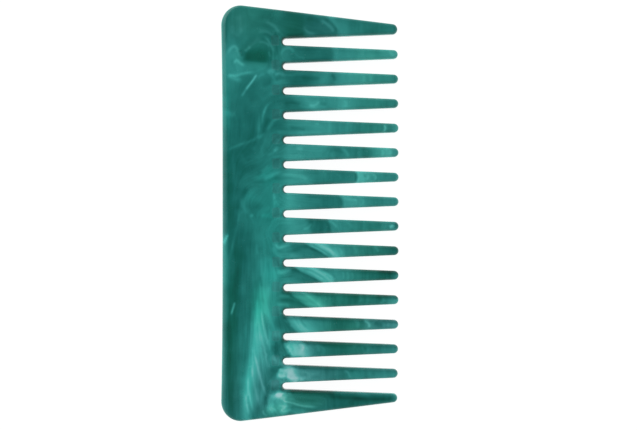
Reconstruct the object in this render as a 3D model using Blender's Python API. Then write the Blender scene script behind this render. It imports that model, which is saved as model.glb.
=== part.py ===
"""A wide-tooth comb, moulded in one piece of marbled plastic.

The comb lies flat on its underside. X runs along its length, the teeth point
towards -Y and Z is its thickness. The origin is on the underside, at the
middle of the rectangle that the comb covers. All lengths are in metres and all
angles in radians.
"""

import math
from collections import namedtuple

import bmesh
import bpy
from mathutils import Matrix

# Overall size
LENGTH = 0.1500
STRAIGHT_WIDTH = 0.0637  # from the back edge to the tips, at the middle of the comb
BOW = 0.00065  # the comb curves in its plane: its ends lie this far back
SPINE_THICKNESS = 0.0045
TIP_THICKNESS = 0.0030

# Teeth and the gaps between them
TOOTH_COUNT = 16
PITCH = 0.00888
ROW_OFFSET = -0.00025  # the row of teeth sits a little nearer to one end
GAP_BOTTOM = 0.0221  # from the back edge to the rounded bottom of each gap
GAP_BOTTOM_RADIUS = 0.00125
FLANK_ANGLE = math.radians(2.33)  # each side of a tooth leans in by this much

# Ends of the comb
CORNER_RADIUS = 0.0072
END_SLOPE = math.radians(6.85)  # the end edges lean in towards the tooth tips

# Thickness: even over the spine, then an even taper to the tips
TAPER_START = 0.0180  # from the back edge

# Rounding where the faces meet the side walls
BACK_ROUNDING = 0.0020
EDGE_ROUNDING = 0.0009
ROUNDING_STEPS = 3

# Shallow rectangular mould marks, one beside the bottom of each gap
MARK_LENGTH = 0.0035
MARK_WIDTH = 0.0026
MARK_DISTANCE = 0.0195  # from the back edge to the middle of a mark
MARK_OFFSET = 0.0004  # along the comb from the middle line of its gap
MARK_DEPTH = 0.0002

# Arc resolution, in straight segments
SMALL_ARC_SEGMENTS = 8
CORNER_SEGMENTS = 9

SHARP_ANGLE = math.radians(35)
PLASTIC_COLOUR = (0.019, 0.172, 0.148, 1.0)
PLASTIC_ROUGHNESS = 0.26

CORNER_X = LENGTH / 2 - CORNER_RADIUS
CORNER_BOW = BOW * (CORNER_X / (LENGTH / 2)) ** 3
BACK_Y = (STRAIGHT_WIDTH - CORNER_BOW) / 2
TIP_Y = BACK_Y - STRAIGHT_WIDTH
GAP_CENTRES = [
    ROW_OFFSET + (i - (TOOTH_COUNT - 2) / 2) * PITCH for i in range(TOOTH_COUNT - 1)
]
GAP_ARC_Y = BACK_Y - GAP_BOTTOM - GAP_BOTTOM_RADIUS
CORNER_Y = BACK_Y - CORNER_RADIUS
CREASE_Y = BACK_Y - TAPER_START
TAPER_ANGLE = math.atan((SPINE_THICKNESS - TIP_THICKNESS) / (STRAIGHT_WIDTH - TAPER_START))

# A point of the outline, its outward direction and the edge rounding there
EdgePoint = namedtuple("EdgePoint", "x y angle rounding")


def arc(centre_x, centre_y, radius, start, end, segments, roundings):
    """Points along an arc; a negative radius gives the hollow side of the circle."""
    points = []
    for i in range(segments + 1):
        share = i / segments
        angle = start + (end - start) * share
        eased = share * share * (3 - 2 * share)
        rounding = roundings[0] + (roundings[1] - roundings[0]) * eased
        x = centre_x + radius * math.cos(angle)
        y = centre_y + radius * math.sin(angle)
        points.append(EdgePoint(x, y, angle, rounding))
    return points


def small_arc(centre_x, centre_y, radius, start, end):
    roundings = (EDGE_ROUNDING, EDGE_ROUNDING)
    return arc(centre_x, centre_y, radius, start, end, SMALL_ARC_SEGMENTS, roundings)


def inner_tip_radius():
    """Radius that touches both flanks of a tooth and ends at the tooth tips' line."""
    lean = math.sin(FLANK_ANGLE)
    half_pitch = PITCH / 2 * math.cos(FLANK_ANGLE)
    return (half_pitch - GAP_BOTTOM_RADIUS - (GAP_ARC_Y - TIP_Y) * lean) / (1 - lean)


def end_tip_circle(outer_gap):
    """Distance from the comb's middle and radius of the circle in an end tooth's tip.

    It touches the tooth's inner flank, the end edge and the tooth tips' line.
    outer_gap is the distance from the comb's middle to the tooth's gap.
    """
    slope_cos = math.cos(END_SLOPE)
    slope_sin = math.sin(END_SLOPE)
    flank_cos = math.cos(FLANK_ANGLE)
    flank_sin = math.sin(FLANK_ANGLE)
    end_line = CORNER_X * slope_cos - CORNER_Y * slope_sin + CORNER_RADIUS
    flank_line = outer_gap * flank_cos + GAP_ARC_Y * flank_sin + GAP_BOTTOM_RADIUS
    # end edge:    x * slope_cos - (TIP_Y + r) * slope_sin + r = end_line
    # inner flank: x * flank_cos + (TIP_Y + r) * flank_sin - r = flank_line
    end_rest = end_line + TIP_Y * slope_sin
    flank_rest = flank_line - TIP_Y * flank_sin
    radius = (end_rest * flank_cos - flank_rest * slope_cos) / (
        (1 - slope_sin) * flank_cos + (1 - flank_sin) * slope_cos
    )
    centre_x = (flank_rest + radius * (1 - flank_sin)) / flank_cos
    return centre_x, radius


def crease_point(side):
    """Point of an end edge whose inner side, past the rounding, lies on the crease."""
    y = CREASE_Y - EDGE_ROUNDING * math.sin(END_SLOPE)
    distance = (CORNER_Y - y) * math.tan(END_SLOPE)
    x = CORNER_X + CORNER_RADIUS / math.cos(END_SLOPE) - distance
    angle = -END_SLOPE if side > 0 else math.pi + END_SLOPE
    return EdgePoint(side * x, y, angle, EDGE_ROUNDING)


def corner(side):
    """The rounded corner between an end edge and the back edge, anticlockwise."""
    fine = (EDGE_ROUNDING, EDGE_ROUNDING)
    quarter = (EDGE_ROUNDING, BACK_ROUNDING)
    if side > 0:
        low = arc(CORNER_X, CORNER_Y, CORNER_RADIUS, -END_SLOPE, 0, 1, fine)
        high = arc(CORNER_X, CORNER_Y, CORNER_RADIUS, 0, math.pi / 2, CORNER_SEGMENTS, quarter)
        return low + high[1:]
    high = arc(
        -CORNER_X, CORNER_Y, CORNER_RADIUS, math.pi / 2, math.pi, CORNER_SEGMENTS, quarter[::-1]
    )
    low = arc(-CORNER_X, CORNER_Y, CORNER_RADIUS, math.pi, math.pi + END_SLOPE, 1, fine)
    return high + low[1:]


def toothed_edge():
    """The teeth and gaps, from the left end tooth's tip to the right end tooth's."""
    left_x, left_radius = end_tip_circle(-GAP_CENTRES[0])
    right_x, right_radius = end_tip_circle(GAP_CENTRES[-1])
    tip_radius = inner_tip_radius()
    left = -math.pi + FLANK_ANGLE
    right = -FLANK_ANGLE
    points = small_arc(-left_x, TIP_Y + left_radius, left_radius, END_SLOPE - math.pi, right)
    for i, gap_x in enumerate(GAP_CENTRES):
        points += small_arc(gap_x, GAP_ARC_Y, -GAP_BOTTOM_RADIUS, right, left)
        if i < len(GAP_CENTRES) - 1:
            tooth_x = gap_x + PITCH / 2
            points += small_arc(tooth_x, TIP_Y + tip_radius, tip_radius, left, right)
    points += small_arc(right_x, TIP_Y + right_radius, right_radius, left, -END_SLOPE)
    return points


def outline():
    """The comb's closed outline, anticlockwise from above, from the right crease point."""
    points = [crease_point(1)]
    points += corner(1)
    points += corner(-1)
    points.append(crease_point(-1))
    points += toothed_edge()
    return points


def bow(x):
    """How far back the comb's bend moves the material at x."""
    return BOW * abs(x / (LENGTH / 2)) ** 3


def top_height(y):
    return SPINE_THICKNESS - max(0.0, CREASE_Y - y) * math.tan(TAPER_ANGLE)


def add_ring(bm, points, turn, top):
    """One loop of vertices round the comb, part of the way round the edge rounding.

    At turn 0 the loop lies on the side wall, and at a quarter turn on the face.
    """
    ring = []
    for point in points:
        inset = point.rounding * (1 - math.cos(turn))
        drop = point.rounding * (1 - math.sin(turn))
        x = point.x - inset * math.cos(point.angle)
        y = point.y - inset * math.sin(point.angle)
        z = top_height(y) - drop if top else drop
        ring.append(bm.verts.new((x, y + bow(x), z)))
    return ring


def make_material():
    material = bpy.data.materials.new("marbled_plastic")
    material.use_nodes = True
    shader = material.node_tree.nodes["Principled BSDF"]
    shader.inputs["Base Color"].default_value = PLASTIC_COLOUR
    shader.inputs["Roughness"].default_value = PLASTIC_ROUGHNESS
    shader.inputs["Metallic"].default_value = 0.0
    return material


def make_comb():
    """The comb's body: stacked loops for the walls, closed by its two faces."""
    points = outline()
    turns = [math.pi / 2 * i / ROUNDING_STEPS for i in range(ROUNDING_STEPS + 1)]
    bm = bmesh.new()
    rings = [add_ring(bm, points, turn, top=False) for turn in reversed(turns)]
    rings += [add_ring(bm, points, turn, top=True) for turn in turns]
    for lower, upper in zip(rings, rings[1:]):
        for i in range(len(points)):
            k = (i + 1) % len(points)
            bm.faces.new((lower[i], lower[k], upper[k], upper[i]))

    left_crease = 1 + len(corner(1)) + len(corner(-1))
    upper = rings[-1]
    bm.faces.new(upper[: left_crease + 1])
    bm.faces.new(upper[left_crease:] + upper[:1])
    bm.faces.new(reversed(rings[0]))

    mesh = bpy.data.meshes.new("comb")
    bm.to_mesh(mesh)
    bm.free()
    comb = bpy.data.objects.new("comb", mesh)
    bpy.context.collection.objects.link(comb)
    mesh.materials.append(make_material())
    return comb


def make_mark_cutter():
    """Shallow blocks, tilted like the tapering face, one beside each gap."""
    y = BACK_Y - MARK_DISTANCE
    tilt = Matrix.Rotation(TAPER_ANGLE, 4, "X")
    size = Matrix.Diagonal((MARK_LENGTH, MARK_WIDTH, 2 * MARK_DEPTH, 1))
    bm = bmesh.new()
    for gap_x in GAP_CENTRES:
        x = gap_x + MARK_OFFSET
        place = Matrix.Translation((x, y + bow(x), top_height(y)))
        bmesh.ops.create_cube(bm, size=1, matrix=place @ tilt @ size)
    mesh = bpy.data.meshes.new("mark_cutter")
    bm.to_mesh(mesh)
    bm.free()
    cutter = bpy.data.objects.new("mark_cutter", mesh)
    bpy.context.collection.objects.link(cutter)
    cutter.display_type = "WIRE"
    cutter.hide_render = True
    return cutter


def main():
    for old in list(bpy.data.objects):
        bpy.data.objects.remove(old, do_unlink=True)
    comb = make_comb()
    marks = comb.modifiers.new("mould_marks", "BOOLEAN")
    marks.operation = "DIFFERENCE"
    marks.solver = "EXACT"
    marks.object = make_mark_cutter()
    comb.data.shade_smooth()
    comb.data.set_sharp_from_angle(angle=SHARP_ANGLE)


main()
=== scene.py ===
import math
from collections import namedtuple

import bpy
import numpy as np
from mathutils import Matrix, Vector, geometry, kdtree


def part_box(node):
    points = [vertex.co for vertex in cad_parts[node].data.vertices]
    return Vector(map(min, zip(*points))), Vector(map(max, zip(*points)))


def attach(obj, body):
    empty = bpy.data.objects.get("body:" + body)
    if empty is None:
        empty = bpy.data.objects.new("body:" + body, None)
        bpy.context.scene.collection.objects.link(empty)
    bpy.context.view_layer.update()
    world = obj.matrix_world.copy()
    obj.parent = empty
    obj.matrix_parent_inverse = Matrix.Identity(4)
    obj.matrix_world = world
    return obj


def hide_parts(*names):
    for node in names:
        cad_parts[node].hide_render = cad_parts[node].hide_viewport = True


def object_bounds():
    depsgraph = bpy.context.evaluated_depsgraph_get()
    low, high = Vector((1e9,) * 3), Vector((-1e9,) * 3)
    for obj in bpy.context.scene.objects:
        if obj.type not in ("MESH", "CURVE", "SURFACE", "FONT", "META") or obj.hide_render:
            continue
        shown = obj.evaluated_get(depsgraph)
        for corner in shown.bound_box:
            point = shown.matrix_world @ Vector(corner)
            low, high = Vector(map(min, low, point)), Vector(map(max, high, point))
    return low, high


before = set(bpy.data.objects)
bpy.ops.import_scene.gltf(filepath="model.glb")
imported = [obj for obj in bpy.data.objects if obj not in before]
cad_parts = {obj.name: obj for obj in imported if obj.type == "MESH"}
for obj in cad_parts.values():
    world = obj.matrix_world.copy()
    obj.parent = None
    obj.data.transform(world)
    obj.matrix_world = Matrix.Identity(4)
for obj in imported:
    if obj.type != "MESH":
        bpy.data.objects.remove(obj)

# A wide-tooth comb moulded in one piece of marbled plastic. It lies on its flat
# underside with its length along X, its teeth towards -Y and its thickness along Z.

MM = 0.001

cad_low, cad_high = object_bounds()
comb_low, comb_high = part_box("comb")

# ---------------------------------------------------------------- shape of the comb

LENGTH = comb_high.x - comb_low.x
SPINE_THICKNESS = comb_high.z - comb_low.z
TIP_THICKNESS = 3.0 * MM
BOW = 0.65 * MM  # the comb curves in its plane: its ends lie this far back
BOW_POWER = 3

TOOTH_COUNT = 16
PITCH = 8.88 * MM
ROW_OFFSET = -0.25 * MM  # the row of teeth sits a little nearer to one end
GAP_BOTTOM = 22.1 * MM  # from the back edge
GAP_BOTTOM_RADIUS = 1.25 * MM
FLANK_ANGLE = math.radians(2.33)
CORNER_RADIUS = 7.2 * MM
END_SLOPE = math.radians(6.85)
TAPER_START = 18.0 * MM  # from the back edge
TAPER_BLEND = 1.5 * MM  # the crease at the start of the taper is this soft
BACK_ROUNDING = 2.0 * MM
EDGE_ROUNDING = 0.9 * MM

MARK_LENGTH = 3.5 * MM
MARK_WIDTH = 2.6 * MM
MARK_DISTANCE = 19.5 * MM  # from the back edge to the middle of a mark
MARK_OFFSET = 0.4 * MM
MARK_DEPTH = 0.12 * MM
MARK_CORNER = 0.5 * MM
MARK_STEP = 0.3 * MM  # width of the slope round a mark

# Fineness of the mesh
TIP_ARC_SEGMENTS = 16
GAP_ARC_SEGMENTS = 16
CORNER_SEGMENTS = 24
END_ARC_SEGMENTS = 3  # in the short arc between a corner and its end edge
MARK_CORNER_SHARES = (0, 0.33, 0.67, 1)
EDGE_SPACING = 0.70 * MM
TOP_SPACING = 0.36 * MM
UNDERSIDE_SPACING = 0.62 * MM
TOP_ROUNDING_STEPS = 6
UNDERSIDE_ROUNDING_STEPS = 4
RING_CLEARANCE = 0.55  # of the spacing: a grid point nearer to the ring is left out
RIM_CLEARANCE = 0.5  # the same for the rims of the marks
MERGE_DISTANCE = 1e-9

MID_GAP = (TOOTH_COUNT - 2) / 2
GAP_CENTRES = [ROW_OFFSET + (i - MID_GAP) * PITCH for i in range(TOOTH_COUNT - 1)]
CORNER_X = LENGTH / 2 - CORNER_RADIUS
CORNER_BOW = BOW * (CORNER_X / (LENGTH / 2)) ** BOW_POWER
TIP_Y = comb_low.y
BACK_Y = comb_high.y - CORNER_BOW  # at the middle of the comb
GAP_ARC_Y = BACK_Y - GAP_BOTTOM - GAP_BOTTOM_RADIUS
CORNER_Y = BACK_Y - CORNER_RADIUS
CREASE_Y = BACK_Y - TAPER_START
TAPER = (SPINE_THICKNESS - TIP_THICKNESS) / (BACK_Y - TIP_Y - TAPER_START)

# A point of the outline, its outward direction and the edge rounding there
EdgePoint = namedtuple("EdgePoint", "x y out_x out_y rounding")


def arc(centre_x, centre_y, radius, start, end, segments, rounding=(EDGE_ROUNDING, EDGE_ROUNDING)):
    """Points along an arc; a negative radius gives the hollow side of the circle."""
    points = []
    for i in range(segments + 1):
        share = i / segments
        angle = start + (end - start) * share
        out_x = math.cos(angle)
        out_y = math.sin(angle)
        here = rounding[0] + (rounding[1] - rounding[0]) * smoothstep(share)
        points.append(EdgePoint(centre_x + radius * out_x, centre_y + radius * out_y, out_x, out_y, here))
    return points


def inner_tip_radius():
    """Radius that touches both flanks of a tooth and ends at the tooth tips' line."""
    lean = math.sin(FLANK_ANGLE)
    half_pitch = PITCH / 2 * math.cos(FLANK_ANGLE)
    return (half_pitch - GAP_BOTTOM_RADIUS - (GAP_ARC_Y - TIP_Y) * lean) / (1 - lean)


def end_tip_circle(outer_gap):
    """The circle that touches an end tooth's flank, end edge and tip line: its distance out and radius."""
    slope_cos = math.cos(END_SLOPE)
    slope_sin = math.sin(END_SLOPE)
    flank_cos = math.cos(FLANK_ANGLE)
    flank_sin = math.sin(FLANK_ANGLE)
    end_line = CORNER_X * slope_cos - CORNER_Y * slope_sin + CORNER_RADIUS
    flank_line = outer_gap * flank_cos + GAP_ARC_Y * flank_sin + GAP_BOTTOM_RADIUS
    end_rest = end_line + TIP_Y * slope_sin
    flank_rest = flank_line - TIP_Y * flank_sin
    radius = (end_rest * flank_cos - flank_rest * slope_cos) / (
        (1 - slope_sin) * flank_cos + (1 - flank_sin) * slope_cos
    )
    return (flank_rest + radius * (1 - flank_sin)) / flank_cos, radius


def spine_edge():
    """The back edge and its two corners, from the right end edge to the left one."""
    quarter = (EDGE_ROUNDING, BACK_ROUNDING)
    turn = math.pi / 2
    right_end = arc(CORNER_X, CORNER_Y, CORNER_RADIUS, -END_SLOPE, 0, END_ARC_SEGMENTS)
    right = arc(CORNER_X, CORNER_Y, CORNER_RADIUS, 0, turn, CORNER_SEGMENTS, quarter)
    left = arc(-CORNER_X, CORNER_Y, CORNER_RADIUS, turn, math.pi, CORNER_SEGMENTS, quarter[::-1])
    last = math.pi + END_SLOPE
    left_end = arc(-CORNER_X, CORNER_Y, CORNER_RADIUS, math.pi, last, END_ARC_SEGMENTS)
    return right_end + right[1:] + left + left_end[1:]


def toothed_edge():
    """The teeth and gaps, from the left end tooth's tip to the right end tooth's."""
    left_x, left_radius = end_tip_circle(-GAP_CENTRES[0])
    right_x, right_radius = end_tip_circle(GAP_CENTRES[-1])
    tip_radius = inner_tip_radius()
    left = -math.pi + FLANK_ANGLE
    right = -FLANK_ANGLE
    left_y = TIP_Y + left_radius
    right_y = TIP_Y + right_radius
    points = arc(-left_x, left_y, left_radius, END_SLOPE - math.pi, right, TIP_ARC_SEGMENTS)
    for i, gap_x in enumerate(GAP_CENTRES):
        points += arc(gap_x, GAP_ARC_Y, -GAP_BOTTOM_RADIUS, right, left, GAP_ARC_SEGMENTS)
        if i < len(GAP_CENTRES) - 1:
            tooth_x = gap_x + PITCH / 2
            points += arc(tooth_x, TIP_Y + tip_radius, tip_radius, left, right, TIP_ARC_SEGMENTS)
    points += arc(right_x, right_y, right_radius, left, -END_SLOPE, TIP_ARC_SEGMENTS)
    return points


def outline():
    """The closed outline, anticlockwise from above, with its straight runs cut into short steps."""
    corners = spine_edge() + toothed_edge()
    points = []
    for here, ahead in zip(corners, corners[1:] + corners[:1]):
        distance = math.hypot(ahead.x - here.x, ahead.y - here.y)
        steps = max(1, round(distance / EDGE_SPACING))
        for i in range(steps):
            points.append([a + (b - a) * i / steps for a, b in zip(here, ahead)])
    return np.array(points)


def smoothstep(value):
    """0 below 0, 1 above 1, and a smooth step between."""
    value = np.clip(value, 0.0, 1.0)
    return value * value * (3 - 2 * value)


def rise(value, start, run):
    """0 up to start and 1 from run further on, with a smooth step between; a negative run looks back."""
    return smoothstep((value - start) / run)


def bell(value, middle, width):
    """1 in the middle, fading to both sides."""
    return np.exp(-(((value - middle) / width) ** 2))


def mark_share(x, y):
    """1 in the middle of a mould mark, 0 outside it."""
    gap = np.clip(np.round((x - ROW_OFFSET) / PITCH), -MID_GAP, MID_GAP)
    across = np.abs(x - ROW_OFFSET - MARK_OFFSET - gap * PITCH) - MARK_LENGTH / 2 + MARK_CORNER
    along = np.abs(y - BACK_Y + MARK_DISTANCE) - MARK_WIDTH / 2 + MARK_CORNER
    outside = np.hypot(np.maximum(across, 0), np.maximum(along, 0))
    distance = outside + np.minimum(np.maximum(across, along), 0) - MARK_CORNER
    return smoothstep(0.5 - distance / MARK_STEP)


def bow(x):
    """How far back the comb's bend moves the material at x."""
    return BOW * np.abs(x / (LENGTH / 2)) ** BOW_POWER


def top_height(y):
    """Height of the upper face: level over the spine, then an even taper to the tips."""
    below = CREASE_Y - y
    softened = np.where(
        np.abs(below) < TAPER_BLEND,
        (below + TAPER_BLEND) ** 2 / (4 * TAPER_BLEND),
        np.maximum(below, 0),
    )
    return SPINE_THICKNESS - softened * TAPER


def ring_of(edge, turn):
    """The loop that lies turn radians round the edge rounding: its x, y and depth below the face."""
    inset = edge[:, 4] * (1 - math.cos(turn))
    drop = edge[:, 4] * (1 - math.sin(turn))
    return edge[:, 0] - inset * edge[:, 2], edge[:, 1] - inset * edge[:, 3], drop


def tree_of(places):
    """A tree that finds the nearest of the places, which are given as x and y."""
    tree = kdtree.KDTree(len(places))
    for i, (x, y) in enumerate(places):
        tree.insert((x, y, 0), i)
    tree.balance()
    return tree


def rows_inside(ring_x, ring_y, spacing):
    """A triangular grid of points inside a closed ring, clear of the ring itself."""
    ahead_x = np.roll(ring_x, -1)
    ahead_y = np.roll(ring_y, -1)
    tree = tree_of(list(zip(ring_x, ring_y)))
    points = []
    row_height = spacing * math.sqrt(3) / 2
    row_count = int((ring_y.max() - ring_y.min()) / row_height)
    for row in range(1, row_count + 1):
        y = ring_y.min() + row * row_height
        crossing = (ring_y > y) != (ahead_y > y)
        share = (y - ring_y[crossing]) / (ahead_y[crossing] - ring_y[crossing])
        crossings = np.sort(ring_x[crossing] + share * (ahead_x[crossing] - ring_x[crossing]))
        offset = (row % 2) * spacing / 2
        for start, end in zip(crossings[::2], crossings[1::2]):
            first = math.ceil((start - offset) / spacing)
            last = math.floor((end - offset) / spacing)
            for step in range(first, last + 1):
                x = step * spacing + offset
                if tree.find((x, y, 0))[2] > spacing * RING_CLEARANCE:
                    points.append((x, y))
    return points


def mark_rims():
    """Points along the upper and lower edges of the slope round each mould mark."""
    points = []
    for gap_x in GAP_CENTRES:
        for grow in (-MARK_STEP / 2, MARK_STEP / 2):
            half_length = MARK_LENGTH / 2 - MARK_CORNER
            half_width = MARK_WIDTH / 2 - MARK_CORNER
            radius = MARK_CORNER + grow
            centre_x = gap_x + MARK_OFFSET
            centre_y = BACK_Y - MARK_DISTANCE
            rim = []
            for i, (side_x, side_y) in enumerate(((1, 1), (-1, 1), (-1, -1), (1, -1))):
                for share in MARK_CORNER_SHARES:
                    angle = (i + share) * math.pi / 2
                    x = centre_x + side_x * half_length + radius * math.cos(angle)
                    y = centre_y + side_y * half_width + radius * math.sin(angle)
                    rim.append(Vector((x, y)))
            for here, ahead in zip(rim, rim[1:] + rim[:1]):
                steps = max(1, round((ahead - here).length / TOP_SPACING))
                points += [tuple(here.lerp(ahead, i / steps)) for i in range(steps)]
    return points


def clear_of(points, others, distance):
    """The points that lie further than the distance from all the others."""
    tree = tree_of(others)
    return [(x, y) for x, y in points if tree.find((x, y, 0))[2] > distance]


def fill_ring(ring_x, ring_y, inner):
    """Triangles that fill a ring, through its own points and the inner ones."""
    points = [Vector(p) for p in zip(ring_x, ring_y)] + [Vector(p) for p in inner]
    count = len(ring_x)
    edges = [(i, (i + 1) % count) for i in range(count)]
    made = geometry.delaunay_2d_cdt(points, edges, [], 1, MERGE_DISTANCE)
    source = [ids[0] for ids in made[3]]
    return [[source[i] for i in face] for face in made[2]]


def make_mesh():
    """The comb's closed surface: stacked rings for the walls and a fine triangle grid for each face."""
    edge = outline()
    count = len(edge)
    xs, ys, zs = [], [], []
    quarter = math.pi / 2
    for i in range(UNDERSIDE_ROUNDING_STEPS, -1, -1):
        x, y, drop = ring_of(edge, quarter * i / UNDERSIDE_ROUNDING_STEPS)
        xs.append(x)
        ys.append(y)
        zs.append(drop)
    for i in range(TOP_ROUNDING_STEPS + 1):
        x, y, drop = ring_of(edge, quarter * i / TOP_ROUNDING_STEPS)
        xs.append(x)
        ys.append(y)
        zs.append(top_height(y) - drop)
    ring_count = len(xs)
    faces = []
    for ring in range(ring_count - 1):
        for i in range(count):
            k = (i + 1) % count
            low = ring * count
            faces.append((low + i, low + k, low + count + k, low + count + i))

    rims = mark_rims()
    inner_top = rims + clear_of(rows_inside(xs[-1], ys[-1], TOP_SPACING), rims, RIM_CLEARANCE * TOP_SPACING)
    inner_low = rows_inside(xs[0], ys[0], UNDERSIDE_SPACING)
    top_start = ring_count * count
    low_start = top_start + len(inner_top)
    top_ring = (ring_count - 1) * count
    for face in fill_ring(xs[-1], ys[-1], inner_top):
        faces.append([top_ring + i if i < count else top_start + i - count for i in face])
    for face in fill_ring(xs[0], ys[0], inner_low):
        faces.append([i if i < count else low_start + i - count for i in reversed(face)])

    grid_x, grid_y = np.array(inner_top).T
    xs.append(grid_x)
    ys.append(grid_y)
    zs.append(top_height(grid_y) - MARK_DEPTH * mark_share(grid_x, grid_y))
    grid_x, grid_y = np.array(inner_low).T
    xs.append(grid_x)
    ys.append(grid_y)
    zs.append(np.zeros(len(grid_x)))
    vertices = np.stack([np.concatenate(xs), np.concatenate(ys), np.concatenate(zs)], 1)
    vertices[:, 1] += bow(vertices[:, 0])

    mesh = bpy.data.meshes.new("comb_visual")
    mesh.from_pydata([tuple(v) for v in vertices], [], faces)
    mesh.validate()
    mesh.update()
    mesh.shade_smooth()
    return mesh


# ---------------------------------------------------------------- marbling

# The marbling is laid out in millimetres on the upper face: d from the back edge
# towards the tips, and x along the comb. A tone is a lightness: the plain body is
# BODY_TONE, the darkest folds are near 55 and the palest swirls near 180. A hue of
# 1 is greyish lilac, -1 is emerald green and 0 is the plain body's teal.

STEP = 0.25
D_AXIS = np.arange(-1.0, 65.0, STEP)
X_AXIS = np.arange(-77.0, 77.0, STEP)
D, X = np.meshgrid(D_AXIS, X_AXIS)
BODY_TONE = 84.0

# Soft patches: tone, hue, middle (d, x), radii (d, x), and then, where they aren't 2 and 0,
# the sharpness and the turn in degrees
PATCHES = [
    # the greyer upper end of the spine
    (2, 0.3, 6, 70, 9, 8, 3),
    (1, 0.2, 3.5, 66, 3, 6),
    (22, 0, 3.6, 54, 3.4, 8, 3),
    (18, 0, 11.5, 52.3, 7, 2.5, 3),
    (-8, 0, 6.7, 58.8, 1, 1),
    (6, 0, 18.8, 44.4, 2.2, 2.2),
    (-7, 0.2, 18.4, 66.6, 4, 5),
    (-8, -0.3, 14, 57.6, 4.4, 2.4, 3),
    (-10, 0, 8.8, 57, 2.2, 1.7, 2, 30),
    (6, 0, 17, 49, 5, 5),
    # the quiet middle
    (-6, 0, 9, 31, 6, 14),
    (-10, 0, 6, 17, 5, 6, 2, 35),
    (-9, 0, 3, 9.5, 2.8, 3),
    (-5, 0, 9, 26.5, 4.5, 4),
    (-8, 0, 6.6, 9.5, 2, 2.4, 2, 35),
    (9, -0.5, 17.4, 13, 3.2, 3.2),
    (14, -0.6, 17.5, 1, 7.5, 13),
    (-8, 0, 12.6, 2.6, 2.6, 1.3),
    (10, -0.3, 10, 6, 2.5, 2.5),
    (12, -0.3, 17.5, -19, 5.5, 11),
    (0, -0.8, 12.2, -33, 2.4, 8),
    (-8, 0, 9, -7.5, 2.4, 2.2),
    # the lower end of the spine
    (-14, 0.2, 20.5, -48.8, 2.4, 2.6, 4),
    (-8, 0, 20.5, -40, 3, 2, 3),
    (-10, 0.2, 19, -56.8, 1.6, 1.4),
    (-14, 0.2, 12.6, -71, 1.8, 2.2),
    (12, 0.3, 15.5, -49, 2.6, 9),
    (10, 0.6, 19, -61.5, 1.8, 1.8),
    (18, -0.2, 20.4, -34, 2.6, 2.2),
    (24, -0.2, 20.4, -43.6, 2.8, 2),
    (26, 0.2, 19.8, -53, 2.8, 2.2),
    (24, 0.3, 20.2, -60.4, 2.4, 2.2),
    (10, -0.4, 20, -22, 3.4, 3),
    (64, 0.5, 20.2, -66, 3.2, 1.8, 3, -10),
    (44, 0, 20, -70.4, 4.4, 3.2, 3, 10),
    (0, 0.6, 3.4, -68, 3.4, 13, 3),
    (0, 0.6, 14.4, -62.5, 3, 8.5, 3),
    (0, 0.4, 13.6, -71, 3, 4, 3),
    # hue of single teeth
    (0, 0.6, 34, 66.5, 8, 4.4, 3),
    (0, -0.4, 34, -31.2, 14, 4.2, 4),
    (0, 1.1, 33, -58, 10.5, 4.2, 4),
    (0, 0.9, 58, -40.2, 7, 4.2, 4),
    (0, 0.4, 58, -53.5, 7, 8.6, 4),
    (0, 0.2, 32, -67.5, 9, 4.2, 4),
    (0, 0.8, 31.4, -48.8, 4, 3.2, 3),
    (0, -0.35, 25, -49, 2.8, 3.2, 3),
    (0, 0.3, 46, -67, 10, 4, 3),
    (0, 0.3, 63, 0, 5, 70, 4),
]

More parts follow.
